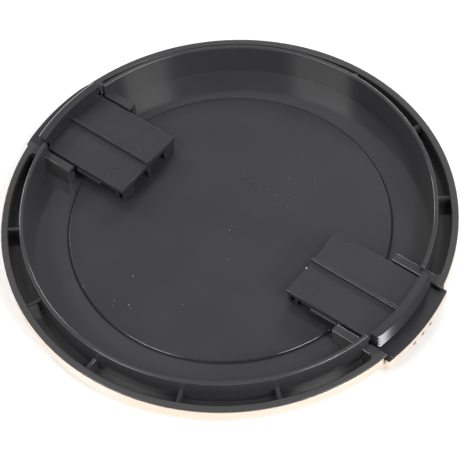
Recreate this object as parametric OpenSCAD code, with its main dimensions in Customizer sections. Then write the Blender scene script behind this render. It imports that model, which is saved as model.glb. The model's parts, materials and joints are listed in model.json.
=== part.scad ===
// Side pinch lens cap for a 95 mm filter thread, lying on its front face.
// The lens side points up. The two latches slide along X.
// Origin: centre of the front face, on the surface that the cap lies on.

/* [Front and rim] */
// Outer radius of the rim
rim_r = 51.3; // [45:0.1:60]
// Width of the flat land on top of the rim
land_w = 1.65; // [1:0.05:3]
// Height of the land above the front face
land_z = 6.7; // [5:0.1:9]
// Thickness of the light skin over the front and the side
skin_t = 0.5; // [0.3:0.05:1]
// How far the front edge's bevel runs in
bevel_r = 2.4; // [1:0.1:4]
// How far the front edge's bevel runs up
bevel_z = 3.2; // [1:0.1:4]
// Height of the black lip above the skin
lip_h = 0.5; // [0.3:0.05:1]

/* [Inside] */
// Outer radius of the spigot ring, which enters the thread
ring_r = 46.7; // [40:0.05:50]
// Thickness of the spigot ring's wall
ring_t = 1.0; // [0.8:0.05:2]
// Top of the spigot ring
ring_z = 10; // [8:0.1:13]
// Level of the floor inside the ring
floor_z = 1.8; // [1.5:0.1:3]
// Radius of the raised middle of the floor
step_r = 36.5; // [30:0.1:40]
// Height of the raised middle
step_h = 0.6; // [0.3:0.05:1]
// How far the step's wall leans
step_lean = 0.4; // [0.1:0.05:1]
// Floor of the trough between the ring and the rim
trough_z = 3; // [2.5:0.1:5]
// Ribs across the trough, measured from each latch
rib_angles = [40, 65, 90, 115, 140];
// Thickness of the trough's ribs
trough_rib_w = 1; // [0.6:0.05:2]
// How far the ribs stop below the land
rib_drop = 0.5; // [0:0.05:1]

/* [Latches] */
// Travel of each latch when it is pinched
travel = 2.6; // [1.5:0.1:4]
// Half width of the gap in the spigot ring
opening_w = 10.43; // [8:0.01:13]
// Half width of the slot in the land, through which the jaw passes
slot_w = 10.05; // [8:0.05:13]
// Inner end of the latch plate
plate_x = 23; // [18:0.1:30]
// Half width of the latch plate
plate_w = 9.6; // [7:0.1:12]
// Top of the latch plate
plate_z = 6.85; // [6:0.05:8]
// Thickness of the latch plate
plate_t = 1.2; // [0.8:0.05:2]
// Height of the rib along the plate
plate_rib_h = 0.9; // [0.3:0.05:1]
// Width of that rib
plate_rib_w = 0.9; // [0.6:0.05:2]
// Half width of the jaw
jaw_w = 9.75; // [7:0.05:12]
// Radius of the jaw's teeth, which is that of the thread
jaw_r = 47.45; // [40:0.05:50]
// How far the jaw stands out beyond its thread radius at rest
jaw_out = 1.35; // [0.5:0.05:2]
// Thickness of the jaw's top
jaw_t = 2.3; // [1:0.05:3]
// How far the jaw's inner face leans in at its foot
jaw_lean = 0.2; // [0:0.1:3]
// Pitch of the jaw's teeth
tooth_pitch = 1; // [0.75:0.05:1.5]
// Number of teeth
tooth_count = 4; // [2:1:5]
// Depth of the teeth
tooth_d = 0.55; // [0.3:0.05:1]
// Thickness of the two cross fins under each inner corner of the plate
fin_t = 0.9; // [0.6:0.05:1.5]
// Distance from one fin to the next
fin_pitch = 1.9; // [1.5:0.1:3]
// Side of the fins next to the springs, measured from the latch's middle
fin_y0 = 5.6; // [5:0.1:8]
// Outer side of the fins
fin_y1 = 9.1; // [7:0.1:11]
// Thickness of the legs along the plate
leg_t = 1.1; // [0.8:0.05:3]
// Wall across the plate that the springs push on
wall_x = 38; // [34:0.1:42]

/* [Grips] */
// Outer radius of the finger grips
grip_r = 52.3; // [51:0.1:55]
// Half width of the grips
grip_w = 11; // [7:0.1:12]
// Half width of the flange that runs out to the grips
flange_w = 9.75; // [7:0.05:11]
// Top of the flange
grip_z = 5.7; // [4:0.1:7]
// Drop from the flange to the ends of the grips
ear_drop = 0.25; // [0.1:0.05:1]
// Bottom of the grips
grip_base = 2.2; // [2:0.1:4]
// Thickness of the grip's light cover
cover_t = 0.4; // [0.3:0.05:1]
// Spacing of the three pips that show through the cover
pip_pitch = 3; // [2:0.1:5]
// Width of each pip
pip_w = 0.8; // [0.4:0.05:2]
// Height of the pips' middle
pip_z = 3.4; // [2.5:0.05:5]

/* [Springs and guides] */
// Outer diameter of the coil springs
spring_d = 3; // [2:0.1:4]
// Diameter of the spring wire
wire_d = 0.35; // [0.2:0.05:0.6]
// Number of turns
turns = 8; // [5:1:12]
// Distance of each spring from the latch's middle
spring_y = 3.9; // [3:0.1:6]
// Outer face of the posts that hold the springs
post_x = 27; // [25:0.1:30]
// Inner end of the guide blocks
guide_x = 37; // [34:0.1:42]
// Thickness of the guide blocks
guide_t = 2.2; // [1:0.1:4]

/* [Hidden] */

$fn = 96;
gap = 0.3;

black = [0.13, 0.13, 0.135];
latch_black = [0.16, 0.16, 0.165];
champagne = [0.86, 0.81, 0.74];
steel = [0.7, 0.71, 0.72];

land_r = rim_r - land_w;
ring_in = ring_r - ring_t;
step_z = floor_z + step_h;
skin_top = land_z - lip_h;
body_r = rim_r - skin_t;
bevel_len = sqrt(bevel_r * bevel_r + bevel_z * bevel_z);
in_r = rim_r - bevel_r - skin_t * bevel_z / bevel_len;
in_z = skin_t * bevel_r / bevel_len;
slope = bevel_r / bevel_z;
body_foot_r = in_r + slope * (skin_t - in_z);
body_knee_z = in_z + (body_r - in_r) / slope;
edge = 0.15;

sill_z = floor_z + 0.1;
guide_y = plate_w + 0.5;
groove_d = 1.05;
tongue_w = guide_y + groove_d - gap - plate_w;
tongue_h = 0.9;
tongue_z = 4.75;
tongue_x0 = guide_x + 0.5;
tongue_x1 = 44.1;
groove_gap = 0.27;
lip_x0 = 29.7;
lip_x1 = guide_x - 0.4;
lip_out = 0.38;
bridge_y = 12.45;
end_corner = 1;
pocket_w = grip_w + 0.45;
pocket_z = grip_z + 0.2;

plate_base = plate_z - plate_t;
jaw_base = grip_z - 1;
leg_z = step_z + 0.2;
spring_z = step_z + 0.15 + spring_d / 2;
post_w = 2.6;
mid_leg_t = 1;
post_l = 2;
pin_r = 0.8;
pin_l = 2;
wall_t = 1.6;
coil_r = (spring_d - wire_d) / 2;
spring_len = wall_x - post_x;
flange_t = 1.5;
skirt_t = 1.3;
neck_r = 49.6;
ejector_r = 2;
ejector_x = 27.9;
ejector_y = 7.1;
tall = 20;
// the grip's inner face at its ends, pushed in by the whole travel, still clears the pocket
pocket_x = sqrt(pow(grip_r - cover_t - skirt_t, 2) - grip_w * grip_w) - travel - gap;

// Cap body: floor, step, spigot ring, trough and rim in one moulding
module body_profile() {
    polygon([
        [0, skin_t],
        [body_foot_r, skin_t],
        [body_r, body_knee_z],
        [body_r, skin_top],
        [rim_r, skin_top],
        [rim_r, land_z - edge],
        [rim_r - edge, land_z],
        [land_r, land_z],
        [land_r, trough_z],
        [ring_r, trough_z],
        [ring_r, ring_z - edge],
        [ring_r - edge, ring_z],
        [ring_in + edge, ring_z],
        [ring_in, ring_z - edge],
        [ring_in, floor_z],
        [step_r + step_lean, floor_z],
        [step_r, step_z],
        [0, step_z]
    ]);
}

module annulus(r_out, r_in, z0, z1) {
    translate([0, 0, z0])
        difference() {
            cylinder(h = z1 - z0, r = r_out);
            translate([0, 0, -1])
                cylinder(h = z1 - z0 + 2, r = r_in);
        }
}

module slab(x0, x1, half_y, z0, z1) {
    translate([x0, -half_y, z0])
        cube([x1 - x0, 2 * half_y, z1 - z0]);
}

module trough_ribs() {
    intersection() {
        annulus(land_r + 0.3, ring_r - 0.3, trough_z - 0.2, land_z - rib_drop);
        union() {
            for (side = [-1, 1]) {
                for (angle = rib_angles) {
                    rotate([0, 0, side * angle])
                        translate([ring_in, -trough_rib_w / 2, 0])
                            cube([rim_r - ring_in, trough_rib_w, tall]);
                }
            }
        }
    }
}

// Walls that close the trough on both sides of a latch, with a rounded corner at the land
module trough_ends() {
    corner_y = bridge_y + end_corner;
    corner_x = sqrt(land_r * land_r - corner_y * corner_y) - end_corner;
    intersection() {
        annulus(land_r + 0.3, ring_r - 0.3, trough_z - 0.2, land_z);
        union() {
            slab(ring_in - 5, rim_r, bridge_y, 0, tall);
            difference() {
                slab(corner_x, rim_r, corner_y, 0, tall);
                for (side = [-1, 1]) {
                    translate([corner_x, side * corner_y, -1])
                        cylinder(h = tall + 2, r = end_corner, $fn = 32);
                }
            }
        }
    }
}

// Two blocks with a groove each, in which the latch's tongues run
module guides() {
    intersection() {
        cylinder(h = tall, r = ring_in + 0.3);
        for (side = [-1, 1]) {
            difference() {
                translate([guide_x, side > 0 ? guide_y : -guide_y - guide_t, floor_z - 0.2])
                    cube([ring_r - guide_x, guide_t, plate_z - floor_z + 0.2]);
                translate([guide_x - 1, side > 0 ? guide_y - 1 : -guide_y - groove_d, tongue_z - groove_gap])
                    cube([ring_r - guide_x + 2, groove_d + 1, tongue_h + 2 * groove_gap]);
            }
        }
    }
}

// Posts on the floor, one for each spring, with a pin that holds the spring's end
module posts() {
    for (side = [-1, 1]) {
        translate([post_x - post_l, side * spring_y - post_w / 2, step_z - 0.2])
            cube([post_l, post_w, spring_z + spring_d / 2 - step_z + 0.05]);
        translate([post_x - 0.2, side * spring_y, spring_z])
            rotate([0, 90, 0])
                cylinder(h = pin_l + 0.2, r = pin_r, $fn = 32);
    }
}

// Gap in the ring and slot in the land, with a wider pocket below for the grip
module latch_opening() {
    intersection() {
        slab(ring_in - 1.5, ring_r + 2, opening_w, sill_z, tall);
        translate([0, 0, -1])
            cylinder(h = tall + 2, r = ring_r + 0.2);
    }
    slab(ring_in - 1.5, rim_r + 5, slot_w, sill_z, tall);
    slab(pocket_x, rim_r + 5, pocket_w, sill_z, pocket_z);
}

module cap_body() {
    color(black) {
        difference() {
            union() {
                rotate_extrude()
                    body_profile();
                for (turn = [0, 180]) {
                    rotate([0, 0, turn])
                        trough_ends();
                }
            }
            for (turn = [0, 180]) {
                rotate([0, 0, turn])
                    latch_opening();
            }
            // the gate mark of the moulding
            translate([1.8, -1.8, step_z - 0.25])
                cylinder(h = 1, r1 = 0.35, r2 = 1.2, $fn = 32);
        }
        trough_ribs();
        for (turn = [0, 180]) {
            rotate([0, 0, turn]) {
                guides();
                posts();
            }
        }
    }
}

// Light skin over the front face, the bevel and the side
module skin_profile() {
    polygon([
        [0, 0],
        [rim_r - bevel_r, 0],
        [rim_r, bevel_z],
        [rim_r, skin_top],
        [body_r, skin_top],
        [body_r, body_knee_z],
        [body_foot_r, skin_t],
        [0, skin_t]
    ]);
}

module front_cover() {
    color(champagne)
        difference() {
            rotate_extrude()
                skin_profile();
            for (side = [0, 180]) {
                rotate([0, 0, side])
                    slab(ring_in, rim_r + 5, pocket_w, sill_z, tall);
            }
        }
}

// Section of the jaw, with its teeth on the outside
function jaw_teeth(i) = [
    [jaw_r - tooth_d, ring_z - tooth_pitch * (i + 1)],
    [jaw_r - 0.1, ring_z - tooth_pitch * (i + 0.58)],
    [jaw_r, ring_z - tooth_pitch * (i + 0.5)],
    [jaw_r - 0.1, ring_z - tooth_pitch * (i + 0.42)]
];

module jaw_profile() {
    teeth = [for (i = [tooth_count - 1:-1:0]) each jaw_teeth(i)];
    polygon(concat(
        [[jaw_r - jaw_t - jaw_lean, jaw_base],
         [jaw_r - tooth_d, jaw_base]],
        teeth,
        [[jaw_r - tooth_d, ring_z],
         [jaw_r - jaw_t, ring_z],
         [jaw_r - jaw_t - jaw_lean, plate_z]]));
}

module jaw() {
    corner = 0.7;
    corner_y = jaw_w - corner;
    corner_x = jaw_out + sqrt(jaw_r * jaw_r - corner_y * corner_y) - corner;
    intersection() {
        translate([jaw_out, 0, 0])
            rotate_extrude()
                jaw_profile();
        union() {
            slab(40, corner_x, jaw_w, 0, tall);
            slab(40, jaw_r + jaw_out + 1, corner_y, 0, tall);
            for (side = [-1, 1]) {
                translate([corner_x, side * corner_y, 0])
                    cylinder(h = tall, r = corner, $fn = 48);
            }
        }
    }
}

module grip() {
    cover_r = grip_r - cover_t;
    cover_z = grip_z - lip_h;
    // top flange between the jaw and the finger grip
    intersection() {
        annulus(grip_r, ring_in - 1.6, grip_z - flange_t, grip_z);
        difference() {
            slab(ring_in - 3.4, grip_r + 1, flange_w, 0, tall);
            annulus(grip_r + 2, cover_r, 0, cover_z);
        }
    }
    // wall of the finger grip, and the black lip above its light cover
    intersection() {
        annulus(cover_r, cover_r - skirt_t, grip_base, cover_z);
        slab(neck_r - 2, grip_r + 1, grip_w - cover_t, 0, tall);
    }
    intersection() {
        annulus(grip_r, cover_r - skirt_t, cover_z, grip_z - ear_drop);
        slab(neck_r - 2, grip_r + 1, grip_w, 0, tall);
    }
    // three pips that show through the light cover
    for (i = [-1, 0, 1]) {
        translate([cover_r - 0.6, i * pip_pitch - pip_w / 2, pip_z - pip_w / 2])
            cube([0.6 + cover_t - 0.05, pip_w, pip_w]);
    }
}

// A rail under each edge of the plate: a thin lip outside the guide block, a tongue in it
module tongues() {
    rail_in = plate_w - leg_t;
    for (side = [-1, 1]) {
        translate([lip_x0, side > 0 ? rail_in : -plate_w, tongue_z])
            cube([tongue_x1 - lip_x0, leg_t, plate_base - tongue_z + 0.1]);
        translate([lip_x0, side > 0 ? plate_w - 0.1 : -plate_w - lip_out, tongue_z])
            cube([lip_x1 - lip_x0, lip_out + 0.1, tongue_h]);
        translate([tongue_x0, side > 0 ? plate_w - 0.1 : -plate_w - tongue_w, tongue_z])
            cube([tongue_x1 - tongue_x0, tongue_w + 0.1, tongue_h]);
    }
}

// Legs under the plate, which slide on the floor on both sides of each spring
module legs() {
    leg_h = plate_base - leg_z + 0.1;
    slab(plate_x, wall_x + 1, mid_leg_t / 2, leg_z, plate_base + 0.1);
    for (side = [-1, 1]) {
        for (x = [plate_x, plate_x + fin_pitch]) {
            translate([x, side > 0 ? fin_y0 : -fin_y1, leg_z])
                cube([fin_t, fin_y1 - fin_y0, leg_h]);
        }
        translate([plate_x + fin_pitch, side > 0 ? fin_y0 + 1.6 : -fin_y0 - 1.6 - leg_t, leg_z])
            cube([wall_x + wall_t - plate_x - fin_pitch, leg_t, leg_h]);
    }
    slab(wall_x, wall_x + wall_t, plate_w, leg_z, plate_base + 0.1);
}

module latch() {
    color(latch_black) {
        difference() {
            union() {
                slab(plate_x, ring_in + 1.2, plate_w, plate_base, plate_z);
                legs();
                tongues();
            }
            for (side = [-1, 1]) {
                translate([ejector_x, side * ejector_y, plate_z - 0.06])
                    cylinder(h = 1, r = ejector_r);
            }
        }
        slab(plate_x, ring_in + 0.9, plate_rib_w / 2, plate_z - 0.1, plate_z + plate_rib_h);
        for (side = [-1, 1]) {
            translate([wall_x - pin_l, side * spring_y, spring_z])
                rotate([0, 90, 0])
                    cylinder(h = pin_l + 0.2, r = pin_r, $fn = 32);
        }
        jaw();
        grip();
    }
}

module latch_a() {
    latch();
}

module latch_b() {
    rotate([0, 0, 180])
        latch();
}

// Light cover on the finger grip, folded round its ends, with a window for each pip
module grip_cover() {
    window = pip_w + 0.1;
    cover_r = grip_r - cover_t;
    color(champagne)
        difference() {
            intersection() {
                annulus(grip_r, cover_r - skirt_t, grip_base, grip_z - lip_h);
                slab(neck_r - 2, grip_r + 1, grip_w, 0, tall);
            }
            intersection() {
                annulus(cover_r, cover_r - skirt_t - 1, 0, tall);
                slab(neck_r - 4, grip_r + 1, grip_w - cover_t, 0, tall);
            }
            for (i = [-1, 0, 1]) {
                translate([grip_r - 3, i * pip_pitch - window / 2, pip_z - window / 2])
                    cube([5, window, window]);
            }
        }
}

module grip_cover_a() {
    grip_cover();
}

module grip_cover_b() {
    rotate([0, 0, 180])
        grip_cover();
}

// Coil spring: a round wire swept along a helix, with flat ends
wire_sides = 6;
steps_per_turn = 14;
helix_steps = turns * steps_per_turn;
wire_r = wire_d / 2;
free_run = spring_len - 0.1 - wire_d;

// the pitch is small in the first and last turn, so that the ends lie flat
function run(t) = t < 1 ? 0.4 * t * t
    : t > turns - 1 ? turns - 1.2 - 0.4 * (turns - t) * (turns - t)
    : t - 0.6;
function helix_x(t) = 0.05 + wire_r + free_run * run(t) / run(turns);
function ring_point(t, s) =
    let (a = 360 * t, b = 360 * s / wire_sides, r = coil_r + wire_r * cos(b))
    [helix_x(t) + wire_r * sin(b), r * cos(a), r * sin(a)];

module coil() {
    points = [for (i = [0:helix_steps], s = [0:wire_sides - 1]) ring_point(i / steps_per_turn, s)];
    last = helix_steps * wire_sides;
    faces = concat(
        [[for (s = [wire_sides - 1:-1:0]) s]],
        [for (i = [0:helix_steps - 1], s = [0:wire_sides - 1])
            let (n = (s + 1) % wire_sides, a = i * wire_sides, b = a + wire_sides)
            [a + s, a + n, b + n, b + s]],
        [[for (s = [0:wire_sides - 1]) last + s]]);
    color(steel)
        polyhedron(points = points, faces = faces, convexity = 10);
}

module spring_at(turn, side) {
    rotate([0, 0, turn])
        translate([post_x, side * spring_y, spring_z])
            coil();
}

module spring_a1() {
    spring_at(0, 1);
}

module spring_a2() {
    spring_at(0, -1);
}

module spring_b1() {
    spring_at(180, 1);
}

module spring_b2() {
    spring_at(180, -1);
}

cap_body();
front_cover();
latch_a();
latch_b();
grip_cover_a();
grip_cover_b();
spring_a1();
spring_a2();
spring_b1();
spring_b2();
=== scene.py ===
# %% [markdown]
# # A side pinch lens cap, seen from its lens side
#
# The object is a large round cap for a camera lens. It lies on its plain front face,
# so we look into the side that goes over the lens: a shallow black dish, a thin ring
# that enters the lens, a trough with ribs behind it, and two sprung latches with teeth.
#
# The exact solids come from the CAD model. This notebook dresses them: it rounds their
# edges as a mould does, gives each one its plastic or metal, adds what is too fine for
# the CAD model, and sets up a table, lamps and a camera.

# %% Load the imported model
import json
import math

import bmesh
import bpy
from mathutils import Matrix, Vector

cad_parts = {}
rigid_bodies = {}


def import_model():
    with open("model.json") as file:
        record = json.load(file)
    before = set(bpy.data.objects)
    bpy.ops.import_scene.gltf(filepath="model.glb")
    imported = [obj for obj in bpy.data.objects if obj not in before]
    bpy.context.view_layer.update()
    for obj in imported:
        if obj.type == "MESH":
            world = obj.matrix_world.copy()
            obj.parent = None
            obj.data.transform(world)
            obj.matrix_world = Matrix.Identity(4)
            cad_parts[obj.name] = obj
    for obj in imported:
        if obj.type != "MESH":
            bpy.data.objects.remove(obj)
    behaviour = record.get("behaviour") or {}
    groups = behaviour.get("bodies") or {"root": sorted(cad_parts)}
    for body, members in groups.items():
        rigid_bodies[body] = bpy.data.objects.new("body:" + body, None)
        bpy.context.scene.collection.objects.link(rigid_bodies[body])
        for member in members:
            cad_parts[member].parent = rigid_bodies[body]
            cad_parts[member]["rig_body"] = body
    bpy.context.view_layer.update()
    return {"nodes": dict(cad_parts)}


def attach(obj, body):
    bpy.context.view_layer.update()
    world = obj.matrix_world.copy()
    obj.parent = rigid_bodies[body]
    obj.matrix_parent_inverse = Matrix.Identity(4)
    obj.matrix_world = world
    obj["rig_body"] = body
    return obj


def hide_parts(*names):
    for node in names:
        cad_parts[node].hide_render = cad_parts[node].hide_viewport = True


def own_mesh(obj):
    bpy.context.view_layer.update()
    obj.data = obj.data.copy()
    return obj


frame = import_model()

MM = 0.001
print("pieces from the CAD model:", sorted(frame["nodes"]))

# %% [markdown]
# ## The camera
#
# The photograph looks down into the dish from about 54 degrees, with a long lens from
# some 40 cm away. Circles show the camera's place well: the rim, the ring and the step
# in the floor are round on the real object, so the shape of each ellipse gives the
# tilt, and how far their middles drift apart gives the distance. A camera could also be
# aimed with a constraint, but a rotation built from three axes keeps the small roll.
# The picture was cropped a little off its middle, which a shift of the lens repeats.

# %% Place the camera
camera_place = Vector((156.6, -171.65, 324.23)) * MM
looks_at = Vector((0, 0, 6.7)) * MM
camera_roll = math.radians(-6.04)
film_width = 36
image_size = 460
focal_pixels = 1755.7
shift_right_pixels, shift_up_pixels = 1.7, -18.6

scene = bpy.context.scene


def put_in_scene(name, data):
    made = bpy.data.objects.new(name, data)
    scene.collection.objects.link(made)
    return made


backwards = (camera_place - looks_at).normalized()
level_right = Vector((0, 0, 1)).cross(backwards).normalized()
level_up = backwards.cross(level_right)
right = level_right * math.cos(camera_roll) + level_up * math.sin(camera_roll)
up = level_up * math.cos(camera_roll) - level_right * math.sin(camera_roll)

camera_data = bpy.data.cameras.new("camera")
camera = put_in_scene("camera", camera_data)
turned = Matrix((right, up, backwards)).transposed().to_4x4()
camera.matrix_world = Matrix.Translation(camera_place) @ turned
camera_data.sensor_width = film_width
camera_data.lens = focal_pixels * film_width / image_size
camera_data.shift_x = shift_right_pixels / image_size
camera_data.shift_y = shift_up_pixels / image_size
camera_data.clip_start = 10 * MM
scene.camera = camera
print("lens in mm:", round(camera_data.lens, 1))

# %% [markdown]
# ## Tools for shaders
#
# Every finish below is a small graph of nodes. A few helpers keep each one readable:
# one adds a node, one joins two sockets, and one does sums on numbers that change over
# the surface. A ramp turns one range of a number into another with soft ends.


# %% Helpers for shader nodes
def node_tree(owner):
    owner.use_nodes = True
    owner.node_tree.nodes.clear()
    return owner.node_tree


def add(tree, kind, **settings):
    made = tree.nodes.new(kind)
    for name, value in settings.items():
        setattr(made, name, value)
    return made


def join(tree, source, target):
    tree.links.new(source, target)


def feed(tree, value, socket):
    """Joins another node's output to the socket, or sets a plain number or colour on it."""
    if isinstance(value, bpy.types.NodeSocket):
        join(tree, value, socket)
    else:
        socket.default_value = value


# %% Sums, products and ramps
def work_out(tree, operation, *values):
    made = add(tree, "ShaderNodeMath", operation=operation)
    for value, socket in zip(values, made.inputs):
        feed(tree, value, socket)
    return made.outputs[0]


def times(tree, a, b):
    return work_out(tree, "MULTIPLY", a, b)


def plus(tree, a, b):
    return work_out(tree, "ADD", a, b)


def ramp(tree, value, low, high, to_low=0.0, to_high=1.0):
    """value from low to high becomes to_low to to_high, with soft ends."""
    eased = add(tree, "ShaderNodeMapRange", interpolation_type="SMOOTHSTEP")
    join(tree, value, eased.inputs[0])
    for socket, number in zip(list(eased.inputs)[1:5], (low, high, to_low, to_high)):
        socket.default_value = number
    return eased.outputs[0]


# %% Mixtures and noises
def mixed(tree, kind, share, a, b):
    """a where share is 0 and b where it is 1. The kind is RGBA for colours, FLOAT for numbers."""
    mix = add(tree, "ShaderNodeMix", data_type=kind)
    for socket_name, value in (("Factor", share), ("A", a), ("B", b)):
        feed(tree, value, mix.inputs[socket_name])
    return mix.outputs["Result"]


def noise(tree, place, scale, detail=2):
    texture = add(tree, "ShaderNodeTexNoise")
    texture.inputs["Detail"].default_value = detail
    join(tree, place, texture.inputs["Vector"])
    feed(tree, scale, texture.inputs["Scale"])
    return texture


# %% [markdown]
# ## Table and light
#
# The cap lies on white card under soft studio light. Black plastic has almost no colour
# of its own: what we see on it is the room, mirrored and blurred. So the lamps matter
# more than the plastic's shade. The bright edges tell where they stand: a rounded edge
# lights up only where its slope mirrors a lamp, and the ring's edges light up in four
# directions. So lamps stand in four directions: two on the right of the cap, two on its
# left, and one on each side behind it. The ring's inner wall and the dish floor mirror
# the right and left ones together, which makes the soft bright zones on the far wall. A
# dim panel overhead and a dim white room fill the rest. How bright each lamp is was
# weighed from pictures that were lit by one lamp at a time.
#
# The card is white paint under that light, a shade below full white. A little glow that
# only the camera and mirror-like rays can see lifts it to white, and it keeps the
# object's shadow.


# %% White card under the cap
def seen_directly(tree):
    """1 for rays from the camera and mirrored or bent ones, 0 for light that falls on things."""
    path = add(tree, "ShaderNodeLightPath").outputs
    mirrored = work_out(tree, "MAXIMUM", path["Is Camera Ray"], path["Is Glossy Ray"])
    return work_out(tree, "MAXIMUM", mirrored, path["Is Transmission Ray"])


card_white, card_glow = 0.93, 0.22
card_reach = 3
card_gap = 0.05 * MM

card_paint = bpy.data.materials.new("white_card")
tree = node_tree(card_paint)
paper = add(tree, "ShaderNodeBsdfDiffuse")
paper.inputs["Color"].default_value = (card_white, card_white, card_white, 1)
glow = add(tree, "ShaderNodeEmission")
glow.inputs["Color"].default_value = (1, 1, 1, 1)
join(tree, times(tree, seen_directly(tree), card_glow), glow.inputs["Strength"])
together = add(tree, "ShaderNodeAddShader")
join(tree, paper.outputs[0], together.inputs[0])
join(tree, glow.outputs[0], together.inputs[1])
surface = add(tree, "ShaderNodeOutputMaterial")
join(tree, together.outputs[0], surface.inputs["Surface"])

corners = [(x * card_reach, y * card_reach, 0) for x, y in ((-1, -1), (1, -1), (1, 1), (-1, 1))]
card_mesh = bpy.data.meshes.new("card")
card_mesh.from_pydata(corners, [], [(0, 1, 2, 3)])
card_mesh.materials.append(card_paint)
card = put_in_scene("card", card_mesh)
card.location.z = -card_gap
print("card:", 2 * card_reach, "m wide,", card_gap / MM, "mm below the cap")

# %% White room
room_light = 0.24
room = bpy.data.worlds.new("room")
scene.world = room
tree = node_tree(room)
sky = add(tree, "ShaderNodeBackground")
sky.inputs["Color"].default_value = (1, 1, 1, 1)
to_camera = add(tree, "ShaderNodeLightPath").outputs["Is Camera Ray"]
lift = work_out(tree, "MULTIPLY_ADD", to_camera, 1 - room_light, room_light)
join(tree, lift, sky.inputs["Strength"])
room_out = add(tree, "ShaderNodeOutputWorld")
join(tree, sky.outputs[0], room_out.inputs["Surface"])
scene.view_settings.view_transform = "Standard"
print("room light:", room_light)


# %% Lamps
def lamp(name, azimuth, elevation, distance, width, height, radiance):
    """A soft panel of an even brightness, aimed at the cap. Brightness 1 mirrors as white."""
    turn, rise = math.radians(azimuth), math.radians(elevation)
    level = Vector((math.cos(turn), math.sin(turn), 0))
    towards = level * math.cos(rise) + Vector((0, 0, math.sin(rise)))
    data = bpy.data.lights.new(name, "AREA")
    data.shape = "RECTANGLE"
    data.size, data.size_y = width, height
    data.energy = radiance * math.pi * width * height
    panel = put_in_scene(name, data)
    panel.location = towards * distance
    panel.rotation_euler = towards.to_track_quat("Z", "Y").to_euler()


lamp("high_panel", azimuth=132, elevation=58, distance=1.2, width=0.8, height=0.6, radiance=0.12)
lamp("right_lamp", azimuth=-8, elevation=54, distance=1.0, width=0.28, height=0.17, radiance=17)
lamp("right_low_lamp", azimuth=0, elevation=29, distance=1.0, width=0.5, height=0.2, radiance=14)
lamp("left_lamp", azimuth=-112, elevation=52, distance=1.0, width=0.4, height=0.16, radiance=11)
lamp("left_low_lamp", azimuth=-108, elevation=30, distance=1.0, width=0.3, height=0.2, radiance=7)
lamp("back_left_lamp", azimuth=174, elevation=30, distance=1.1, width=0.25, height=0.16, radiance=20)
lamp("back_right_lamp", azimuth=108, elevation=30, distance=1.1, width=0.25, height=0.18, radiance=18)

# %% [markdown]
# ## Effects that several finishes share
#
# Both black mouldings come out of a spark-eroded steel mould, so both carry its fine
# even grain, and both have lain about: a few hair scratches and specks of dust. A
# scratch is a short piece of the border between the cells of a slightly bent cell
# pattern, so it is thin, nearly straight and ends by itself. Each effect is one node
# group with its own inputs, and each material sets how strong it is. The groups only put
# out numbers that change over the surface.


# %% Start a node group
PLACE = ("Place", "NodeSocketVector", None)


def effect(name, inputs, outputs):
    group = bpy.data.node_groups.new(name, "ShaderNodeTree")
    for label, kind, value in inputs:
        socket = group.interface.new_socket(name=label, in_out="INPUT", socket_type=kind)
        if value is not None:
            socket.default_value = value
    for label in outputs:
        group.interface.new_socket(name=label, in_out="OUTPUT", socket_type="NodeSocketFloat")
    return group, add(group, "NodeGroupInput").outputs, add(group, "NodeGroupOutput").inputs


# %% Mould grain: an even fine roughness, and a slow drift in gloss
drifts_per_metre = 70

grain_group, given, result = effect(
    "mould_grain",
    [PLACE, ("Grains per mm", "NodeSocketFloat", 4.0)],
    ["Grain", "Drift"],
)
grains_per_metre = times(grain_group, given["Grains per mm"], 1000)
fine = noise(grain_group, given["Place"], grains_per_metre)
slow = noise(grain_group, given["Place"], drifts_per_metre, detail=3)
join(grain_group, fine.outputs[0], result["Grain"])
join(grain_group, slow.outputs[0], result["Drift"])
print("effect:", grain_group.name)

# %% Handling marks, first the hair scratches
bends_per_metre, bend_size = 90, 4 * MM
cells_per_metre, hair_width = 75, 0.006
patches_per_metre = 160

marks_group, given, result = effect(
    "handling_marks",
    [PLACE, ("Scratches", "NodeSocketFloat", 1.0), ("Dust", "NodeSocketFloat", 1.0)],
    ["Scratch", "Speck"],
)
bent = noise(marks_group, given["Place"], bends_per_metre)
bend = add(marks_group, "ShaderNodeVectorMath", operation="MULTIPLY_ADD")
join(marks_group, bent.outputs["Color"], bend.inputs[0])
bend.inputs[1].default_value = (bend_size, bend_size, bend_size)
join(marks_group, given["Place"], bend.inputs[2])
borders = add(marks_group, "ShaderNodeTexVoronoi", feature="DISTANCE_TO_EDGE")
borders.inputs["Scale"].default_value = cells_per_metre
join(marks_group, bend.outputs[0], borders.inputs["Vector"])
thin = ramp(marks_group, borders.outputs["Distance"], 0.0, hair_width, 1, 0)
patchy = noise(marks_group, given["Place"], patches_per_metre)
hair = times(marks_group, thin, ramp(marks_group, patchy.outputs[0], 0.6, 0.68))
join(marks_group, times(marks_group, hair, given["Scratches"]), result["Scratch"])

# %% Handling marks, then the specks of dust
specks_per_metre = 260
share_left_out = 0.72

cells = add(marks_group, "ShaderNodeTexVoronoi")
cells.inputs["Scale"].default_value = specks_per_metre
join(marks_group, given["Place"], cells.inputs["Vector"])
chance = add(marks_group, "ShaderNodeSeparateColor")
join(marks_group, cells.outputs["Color"], chance.inputs[0])
chosen = ramp(marks_group, chance.outputs[0], share_left_out, share_left_out + 0.02)
near_middle = ramp(marks_group, cells.outputs["Distance"], 0.02, 0.045, 1, 0)
speck = times(marks_group, times(marks_group, chosen, near_middle), given["Dust"])
join(marks_group, speck, result["Speck"])
print("effect:", marks_group.name)


# %% Place an effect in a material
def mould_grain(tree, place, grains_per_mm):
    placed = add(tree, "ShaderNodeGroup", node_tree=grain_group)
    placed.inputs["Grains per mm"].default_value = grains_per_mm
    join(tree, place, placed.inputs["Place"])
    return placed.outputs["Grain"], placed.outputs["Drift"]


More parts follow.
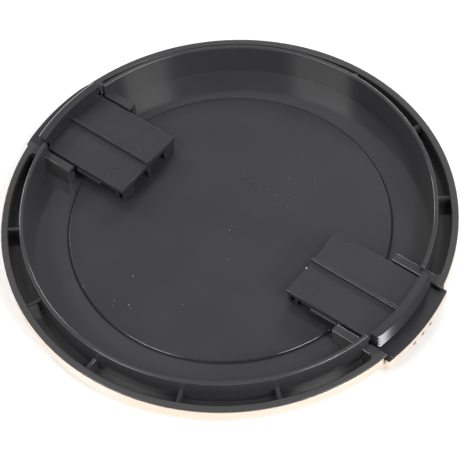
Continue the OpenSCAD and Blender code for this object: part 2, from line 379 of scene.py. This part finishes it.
def handling_marks(tree, place, scratches, dust):
    placed = add(tree, "ShaderNodeGroup", node_tree=marks_group)
    placed.inputs["Scratches"].default_value = scratches
    placed.inputs["Dust"].default_value = dust
    join(tree, place, placed.inputs["Place"])
    return placed.outputs["Scratch"], placed.outputs["Speck"]


# %% [markdown]
# ## Black plastic
#
# The body is a glass-filled plastic, black right through. Real black plastic reflects
# about three per cent as colour and five per cent as gloss. Its raised middle is satin,
# from the spark-eroded face of the mould. Its upright walls are smoother, because that
# part of the mould was polished so that the part comes out, and so is the flat ring of
# floor outside the step. So the roughness follows the slope of the surface and the
# distance to the middle. Everything on the body outside the step also carries painted
# light: its colour is lifted a shade to stand in for light that the walls bounce about
# inside the dish. The level land round the rim is made a shade lighter again. The
# latches are the same kind of plastic from another mould, with a finer grain.
#
# The floor also shows faint rings, left by the lathe that cut the mould. They are less
# than a hundredth of a millimetre deep, so a bump is the honest size for them.


# %% Start a finish
def start_finish(name):
    """A new material with one Principled shader, as material, node tree and that shader's inputs."""
    material = bpy.data.materials.new(name)
    tree = node_tree(material)
    skin = add(tree, "ShaderNodeBsdfPrincipled")
    out = add(tree, "ShaderNodeOutputMaterial")
    join(tree, skin.outputs[0], out.inputs["Surface"])
    return material, tree, skin.inputs


def relief(tree, height, depth, skin):
    bump = add(tree, "ShaderNodeBump")
    bump.inputs["Distance"].default_value = depth
    join(tree, height, bump.inputs["Height"])
    join(tree, bump.outputs[0], skin["Normal"])


# %% Where a spot lies, and how its surface faces
def place_on_piece(tree):
    return add(tree, "ShaderNodeTexCoord").outputs["Object"]


def out_from_middle(tree, place):
    flat = add(tree, "ShaderNodeVectorMath", operation="MULTIPLY")
    flat.inputs[1].default_value = (1, 1, 0)
    join(tree, place, flat.inputs[0])
    radius = add(tree, "ShaderNodeVectorMath", operation="LENGTH")
    join(tree, flat.outputs[0], radius.inputs[0])
    return radius.outputs["Value"]


def facing_up(tree):
    """1 on level faces that look up, 0 on upright ones."""
    slope = add(tree, "ShaderNodeNewGeometry")
    split = add(tree, "ShaderNodeSeparateXYZ")
    join(tree, slope.outputs["Normal"], split.inputs[0])
    return ramp(tree, split.outputs["Z"], 0.88, 0.99)


# %% Rings that a lathe left in the mould's floor
def lathe_rings(tree, radius, depth):
    """Fine turns inside the step, and one groove just inside it."""
    ring_spacing = 0.35 * MM
    groove_radius, groove_half, groove_depth = 35.6 * MM, 0.15 * MM, 6
    turns = work_out(tree, "SINE", times(tree, radius, 2 * math.pi / ring_spacing))
    begins = ramp(tree, radius, 26 * MM, 35 * MM)
    ends = ramp(tree, radius, 35.6 * MM, 36.2 * MM, 1, 0)
    fine_turns = times(tree, times(tree, turns, times(tree, begins, ends)), depth)
    inner_side = ramp(tree, radius, groove_radius - groove_half, groove_radius)
    outer_side = ramp(tree, radius, groove_radius, groove_radius + groove_half, 1, 0)
    groove = times(tree, times(tree, inner_side, outer_side), -groove_depth)
    return plus(tree, fine_turns, groove)


# %% Function for a moulded black plastic
plastic_ior = 1.58
# The grey that dust, scratches, the land and the painted light outside the step mix toward.
dust_and_painted_light_grey = (0.3, 0.29, 0.28, 1)
step_foot = (36.6 * MM, 37 * MM)
land_inside = (49.3 * MM, 49.8 * MM)
# Painted light: how far the colour outside the step is mixed toward grey, for light bounced between the
# walls.
painted_light_outside_step = 0.072
scratch_paler, scratch_duller, scratch_depth = 0.1, 0.1, 0.8
drift_range, gloss_drift = (0.3, 0.7), 0.015
grain_depth = 0.0012 * MM


def black_plastic(
    name, dark, satin, polished, grains, scratches, dust, rim=0.0, rings=0.0, outer=None
):
    material, tree, skin = start_finish(name)
    skin["IOR"].default_value = plastic_ior
    place = place_on_piece(tree)
    radius = out_from_middle(tree, place)
    level = facing_up(tree)
    grain, drift = mould_grain(tree, place, grains)
    scratch, speck = handling_marks(tree, place, scratches, dust)

    darker, paler = ((*(factor * c for c in dark), 1) for factor in (0.94, 1.06))
    shade = mixed(tree, "RGBA", ramp(tree, drift, *drift_range), darker, paler)
    # The level land round the rim is made a shade lighter.
    lighter_land = times(tree, times(tree, ramp(tree, radius, *land_inside), level), rim)
    pale = plus(tree, plus(tree, speck, times(tree, scratch, scratch_paler)), lighter_land)
    satin_here = satin
    if outer:
        # Painted light: outside the step the colour is lifted toward grey, for light bounced between
        # the walls.
        pale = plus(tree, pale, times(tree, ramp(tree, radius, *step_foot), painted_light_outside_step))
        satin_here = ramp(tree, radius, *step_foot, satin, outer)
    join(tree, mixed(tree, "RGBA", pale, shade, dust_and_painted_light_grey), skin["Base Color"])

    gloss = mixed(tree, "FLOAT", level, polished, satin_here)
    drifting = plus(tree, gloss, ramp(tree, drift, *drift_range, -gloss_drift, gloss_drift))
    join(tree, plus(tree, drifting, times(tree, scratch, scratch_duller)), skin["Roughness"])

    height = plus(tree, grain, times(tree, scratch, -scratch_depth))
    if rings:
        height = plus(tree, height, lathe_rings(tree, radius, rings))
    relief(tree, height, grain_depth, skin)
    return material


# %% Plastic of the body and of the latches
body_black = black_plastic(
    "body_black",
    dark=(0.0345, 0.0332, 0.0378),
    satin=0.36,
    polished=0.14,
    grains=3.5,
    scratches=1.0,
    dust=1.0,
    rim=0.08,
    rings=0.15,
    outer=0.14,
)
latch_black = black_plastic(
    "latch_black",
    dark=(0.0325, 0.031, 0.037),
    satin=0.38,
    polished=0.14,
    grains=5.0,
    scratches=0.7,
    dust=0.8,
)
print("black plastics:", body_black.name, latch_black.name)

# %% [markdown]
# ## Pale metal skin
#
# The side of the rim and the finger grips are a light champagne silver with a satin
# sheen, a thin metal skin or a metal-look paint. Its colour is in the reflection, so it
# is a metal here, fairly rough, with a slow drift from warm to neutral, which the real
# one shows along its side. A very fine brushing runs round the rim and in circles on the
# front face. It is a noise that is squeezed across the brushing, by height plus distance
# to the middle, so that one noise does for both.

# %% Champagne skin
warm, neutral = (0.86, 0.735, 0.615, 1), (0.86, 0.765, 0.67, 1)
brush_lines_per_metre, brush_strokes_per_metre = 9000, 60
brush_depth = 0.002 * MM

champagne, tree, skin = start_finish("champagne_skin")
skin["Metallic"].default_value = 0.9
place = place_on_piece(tree)
grain, drift = mould_grain(tree, place, 6)
tone = mixed(tree, "RGBA", ramp(tree, drift, 0.35, 0.65), warm, neutral)
join(tree, tone, skin["Base Color"])

parts = add(tree, "ShaderNodeSeparateXYZ")
join(tree, place, parts.inputs[0])
across = plus(tree, parts.outputs["Z"], out_from_middle(tree, place))
squeezed = add(tree, "ShaderNodeCombineXYZ")
for axis in "XY":
    stroke = times(tree, parts.outputs[axis], brush_strokes_per_metre)
    join(tree, stroke, squeezed.inputs[axis])
join(tree, times(tree, across, brush_lines_per_metre), squeezed.inputs["Z"])
brushing = noise(tree, squeezed.outputs[0], 1).outputs[0]
join(tree, ramp(tree, brushing, 0.3, 0.7, 0.26, 0.36), skin["Roughness"])
relief(tree, plus(tree, grain, brushing), brush_depth, skin)
print("metal skin:", champagne.name)

# %% [markdown]
# ## Spring wire
#
# The springs are drawn steel wire: bright, with fine lines along the wire. On a coil that
# is a few millimetres long the lines are far too fine to see one by one, so a squeezed
# noise varies the roughness and the tone instead.

# %% Drawn steel wire
dull_steel, bright_steel = (0.5, 0.5, 0.51, 1), (0.68, 0.68, 0.69, 1)
waves_per_metre = (9000, 2500, 2500)

steel, tree, skin = start_finish("spring_wire")
skin["Metallic"].default_value = 1
squeezed = add(tree, "ShaderNodeMapping")
squeezed.inputs["Scale"].default_value = waves_per_metre
join(tree, place_on_piece(tree), squeezed.inputs["Vector"])
drawn = noise(tree, squeezed.outputs[0], 1).outputs[0]
join(tree, mixed(tree, "RGBA", drawn, dull_steel, bright_steel), skin["Base Color"])
join(tree, ramp(tree, drawn, 0.3, 0.7, 0.2, 0.38), skin["Roughness"])
print("wire:", steel.name)

# %% [markdown]
# ## Moulded edges
#
# A mould never gives a knife edge, and on black plastic the small rounded edges are what
# we see most: each one mirrors a lamp as a thin light line. The CAD solids have sharp
# edges or plain chamfers, so each visible piece is a copy of its solid with edges that
# are rounded by up to 0.35 mm. A bevel modifier could find the edges by angle alone, but
# then it would round the teeth and the narrow ribs away. So the copy is welded first,
# flat faces are joined into one, and each real edge gets its own share of the rounding:
# less where a face beside it is narrow, so that two roundings never meet. The teeth are
# left as they are, because their crests are rounded in the CAD model already, and so are
# inner corners, which stay crisp in the photograph. Where the ring and the land have a
# chamfer, its corners first move to where the edge would be sharp, so that one round
# edge takes its place. The copy stands for its CAD piece and moves with the same body.


# %% A welded copy of a CAD solid
weld_distance = 0.002 * MM
chamfer_weld = 0.12 * MM
flat_within = math.radians(0.6)


def welded_form(source, square_up):
    form = bmesh.new()
    form.from_mesh(source.data)
    bmesh.ops.remove_doubles(form, verts=form.verts, dist=weld_distance)
    if square_up:
        corners = [(vert, square_up(vert.co)) for vert in form.verts]
        moved = [(vert, spot) for vert, spot in corners if spot]
        for vert, spot in moved:
            vert.co = spot
        before = len(form.verts)
        bmesh.ops.remove_doubles(form, verts=[vert for vert, spot in moved], dist=chamfer_weld)
        print("chamfer corners moved:", len(moved), "joined:", before - len(form.verts))
    bmesh.ops.dissolve_limit(form, angle_limit=flat_within, verts=form.verts, edges=form.edges)
    return form


# %% Each real edge's share of the rounding
real_edge = math.radians(28)
part_of_face = 0.48


def reach(face, edge):
    """How far a face stretches away from one of its edges."""
    start, end = (v.co for v in edge.verts)
    along = (end - start).normalized()
    return max((v.co - start - along * (v.co - start).dot(along)).length for v in face.verts)


def share_out_rounding(form, radius, leave):
    """Sets the bevel weight of outer edges, marks the others sharp, and counts the first kind."""
    share = form.edges.layers.float.new("bevel_weight_edge")
    rounded = 0
    for edge in form.edges:
        if len(edge.link_faces) != 2 or edge.calc_face_angle(0) < real_edge:
            continue
        middle = (edge.verts[0].co + edge.verts[1].co) / 2
        edge.smooth = edge.is_convex and not (leave and leave(middle))
        if edge.smooth:
            room_beside = min(reach(face, edge) for face in edge.link_faces)
            edge[share] = min(1.0, part_of_face * room_beside / radius)
            rounded += 1
    return rounded


# %% Function for a piece with rounded edges
def with_moulded_edges(node, name, radius, material, leave=None, square_up=None):
    source = frame["nodes"][node]
    form = welded_form(source, square_up)
    rounded = share_out_rounding(form, radius, leave)
    open_edges = sum(1 for edge in form.edges if len(edge.link_faces) != 2)
    mesh = bpy.data.meshes.new(name)
    form.to_mesh(mesh)
    form.free()
    if "custom_normal" in mesh.attributes:
        mesh.attributes.remove(mesh.attributes["custom_normal"])
    mesh.materials.clear()
    mesh.materials.append(material)
    mesh.shade_smooth()
    piece = put_in_scene(name, mesh)
    rounding = piece.modifiers.new("moulded edges", "BEVEL")
    rounding.width = radius
    rounding.segments = 3
    rounding.limit_method = "WEIGHT"
    rounding.use_clamp_overlap = False
    rounding.harden_normals = True
    rounding.miter_outer = "MITER_ARC"
    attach(piece, source["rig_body"])
    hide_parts(node)
    print(name, len(mesh.polygons), "faces,", rounded, "rounded edges,", open_edges, "open edges")


# %% Edges of the jaw that stay as they are
jaw_out = 1.35 * MM
jaw_back_radius, tooth_foot_radius = 45.6 * MM, 46.75 * MM
below_teeth, above_teeth = 5.75 * MM, 9.9 * MM
jaw_corner = 9.3 * MM


def on_jaw(spot):
    """The jaw's teeth, its inner top edge and its top corners, by the jaw's own middle."""
    from_middle = math.hypot(spot.x - math.copysign(jaw_out, spot.x), spot.y)
    if spot.z > above_teeth:
        return from_middle < jaw_back_radius or abs(spot.y) > jaw_corner
    return from_middle > tooth_foot_radius and below_teeth < spot.z < above_teeth


# %% Corners of the chamfers, moved to where the edges would be sharp
ring_radius, ring_inside, ring_top = 46.7 * MM, 45.7 * MM, 10 * MM
rim_radius, land_top = 51.3 * MM, 6.7 * MM
latch_slot = 10.6 * MM
chamfer_zone = 0.2 * MM


def without_chamfers(spot):
    from_middle = math.hypot(spot.x, spot.y)
    at_ring_top = spot.z > ring_top - chamfer_zone
    if at_ring_top and from_middle > ring_radius - chamfer_zone:
        radius, z = ring_radius, ring_top
    elif at_ring_top and abs(from_middle - ring_inside) < chamfer_zone:
        radius, z = ring_inside, ring_top
    elif abs(spot.z - land_top) < chamfer_zone and from_middle > rim_radius - chamfer_zone:
        radius, z = rim_radius, land_top
    else:
        return None
    if abs(spot.y) < latch_slot:
        return Vector((math.copysign(math.sqrt(radius**2 - spot.y**2), spot.x), spot.y, z))
    return Vector((spot.x * radius / from_middle, spot.y * radius / from_middle, z))


# %% Body, latches, skin and grip covers
body_edge, latch_edge, skin_edge, grip_edge = 0.35 * MM, 0.22 * MM, 0.08 * MM, 0.06 * MM

with_moulded_edges(
    "cap_body", "body_moulding", body_edge, body_black, square_up=without_chamfers
)
for side in "ab":
    name = f"latch_moulding_{side}"
    with_moulded_edges(f"latch_{side}", name, latch_edge, latch_black, leave=on_jaw)
with_moulded_edges("front_cover", "front_skin", skin_edge, champagne)
for side in "ab":
    with_moulded_edges(f"grip_cover_{side}", f"grip_skin_{side}", grip_edge, champagne)

# %% [markdown]
# ## Coil springs
#
# Two springs stand in the channels under each latch plate, between a post on the body and
# the latch's cross wall. Only glimpses of them can be seen from the inner end. Each is a
# round wire swept along a helix with flat end turns. A screw modifier could do it, but a
# swept tube made point by point gives the end turns their own pitch. The springs are
# fixed to the body and keep their length when a latch is pinched.


# %% The path of a spring's wire
turns, steps_a_turn, wire_sides = 8, 30, 12
wire_radius, coil_radius = 0.175 * MM, 1.325 * MM
post_face, wall_face, free_play = 27 * MM, 38 * MM, 0.05 * MM
spring_y, spring_z = 3.9 * MM, 4.05 * MM
end_turn = 0.4


def advance(turn):
    """How many pitches the wire has gone after so many turns: the end turns go only part of one."""
    if turn < 1:
        return end_turn * turn**2
    if turn > turns - 1:
        return turns - 2 * (1 - end_turn) - end_turn * (turns - turn) ** 2
    return turn - (1 - end_turn)


def wire_ring(turn, side, sign):
    """The points round the wire after so many turns."""
    start = post_face + free_play + wire_radius
    end = wall_face - free_play - wire_radius
    along = start + (end - start) * advance(turn) / advance(turns)
    round_coil = 2 * math.pi * turn
    ring = []
    for step in range(wire_sides):
        round_wire = 2 * math.pi * step / wire_sides
        out = coil_radius + wire_radius * math.cos(round_wire)
        x = along + wire_radius * math.sin(round_wire)
        y = side * spring_y + out * math.cos(round_coil)
        ring.append((x * sign, y * sign, spring_z + out * math.sin(round_coil)))
    return ring


# %% Function for a wound spring
def wound_spring(name, sign, side, node):
    count = turns * steps_a_turn + 1
    points = [p for i in range(count) for p in wire_ring(i / steps_a_turn, side, sign)]
    faces = []
    for first in range(0, (count - 1) * wire_sides, wire_sides):
        for step in range(wire_sides):
            here, beside = first + step, first + (step + 1) % wire_sides
            faces.append((here, here + wire_sides, beside + wire_sides, beside))
    faces.append(tuple(range(wire_sides)))
    faces.append(tuple(reversed(range(len(points) - wire_sides, len(points)))))
    mesh = bpy.data.meshes.new(name)
    mesh.from_pydata(points, [], faces)
    mesh.shade_smooth()
    mesh.materials.append(steel)
    spring = put_in_scene(name, mesh)
    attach(spring, "cap")
    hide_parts(node)
    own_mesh(spring)


for letter, sign in (("a", 1), ("b", -1)):
    for number, side in (("1", 1), ("2", -1)):
        spring = f"{letter}{number}"
        wound_spring(f"coil_{spring}", sign, side, f"spring_{spring}")

# %% [markdown]
# ## Marks of the mould on the dish floor
#
# The raised floor carries a small sheared gate in a dimple near its middle and, beside
# it, a loose row of low pips and short bars. All of it is a little over a tenth of a
# millimetre high. A few flecks of dust lie about, as in the photograph: seven on the
# floor and a white one on a latch plate. A texture could make them, but small bodies
# catch the light from every side.


# %% Function for a set of low lumps
floor_top = 2.4
plate_top = 6.85


def lumps(name, spots, material, body):
    """Each spot gives its foot's x, y and z, then length, width, height and turn, in mm and degrees."""
    form = bmesh.new()
    for x, y, z, length, width, height, turn in spots:
        put = Matrix.Translation((x * MM, y * MM, z * MM))
        turned = Matrix.Rotation(math.radians(turn), 4, "Z")
        stretched = Matrix.Diagonal((length / 2 * MM, width / 2 * MM, height * MM, 1))
        bmesh.ops.create_uvsphere(
            form, u_segments=20, v_segments=10, radius=1, matrix=put @ turned @ stretched
        )
    mesh = bpy.data.meshes.new(name)
    form.to_mesh(mesh)
    form.free()
    mesh.shade_smooth()
    mesh.materials.append(material)
    piece = put_in_scene(name, mesh)
    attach(piece, body)
    print(name, len(spots), "lumps")


# %% Pips, bars and the gate's stub, as x, y, length, width and turn
pip_height = 0.16
pips = [
    (-8.1, 14.7, 0.9, 0.35, 70),
    (-6.2, 13.6, 0.9, 0.35, 62),
    (-4.8, 11.6, 1.3, 0.35, 75),
    (-2.2, 11.8, 2.2, 0.4, -4),
    (0.6, 12.5, 0.6, 0.6, 0),
    (1.5, 13.2, 0.7, 0.55, 30),
    (2.0, 11.2, 0.7, 0.6, 0),
    (3.8, 12.1, 0.8, 0.6, 60),
    (4.8, 13.1, 0.55, 0.55, 0),
    (4.9, 10.8, 0.7, 0.5, 20),
    (7.0, 13.6, 0.55, 0.5, 0),
    (7.9, 12.5, 1.1, 0.4, 15),
    (8.1, 10.9, 0.9, 0.35, 60),
]
spots = [(x, y, floor_top, length, width, pip_height, turn) for x, y, length, width, turn in pips]
dimple_depth = 0.2
gate_stub = (1.8, -1.8, floor_top - dimple_depth, 0.5, 0.5, dimple_depth, 0)
lumps("floor_pips", spots + [gate_stub], body_black, "cap")

# %% Finish of the dust
dark_fibre, light_fibre = (0.42, 0.4, 0.37, 1), (0.6, 0.58, 0.55, 1)
fibres_per_metre = 9000

pale_dust, tree, skin = start_finish("pale_dust")
skin["Roughness"].default_value = 0.9
fibre = noise(tree, place_on_piece(tree), fibres_per_metre).outputs[0]
join(tree, mixed(tree, "RGBA", fibre, dark_fibre, light_fibre), skin["Base Color"])
print("dust:", pale_dust.name)

# %% Flecks of dust, as x, y and size
flecks = [
    (-8.7, -23.9, 0.3),
    (-8.0, -31.3, 0.22),
    (-7.3, -32.6, 0.18),
    (-4.7, -30.4, 0.3),
    (-3.8, -30.8, 0.18),
    (5.0, -23.5, 0.22),
    (5.8, -8.2, 0.22),
]
spots = [(x, y, floor_top, size, 0.7 * size, 0.4 * size, 40 * x) for x, y, size in flecks]
lumps("floor_dust", spots, pale_dust, "cap")
plate_fleck = (23.4, -2.45, plate_top, 0.5, 0.4, 0.2, 20)
lumps("plate_dust", [plate_fleck], pale_dust, "latch_a")
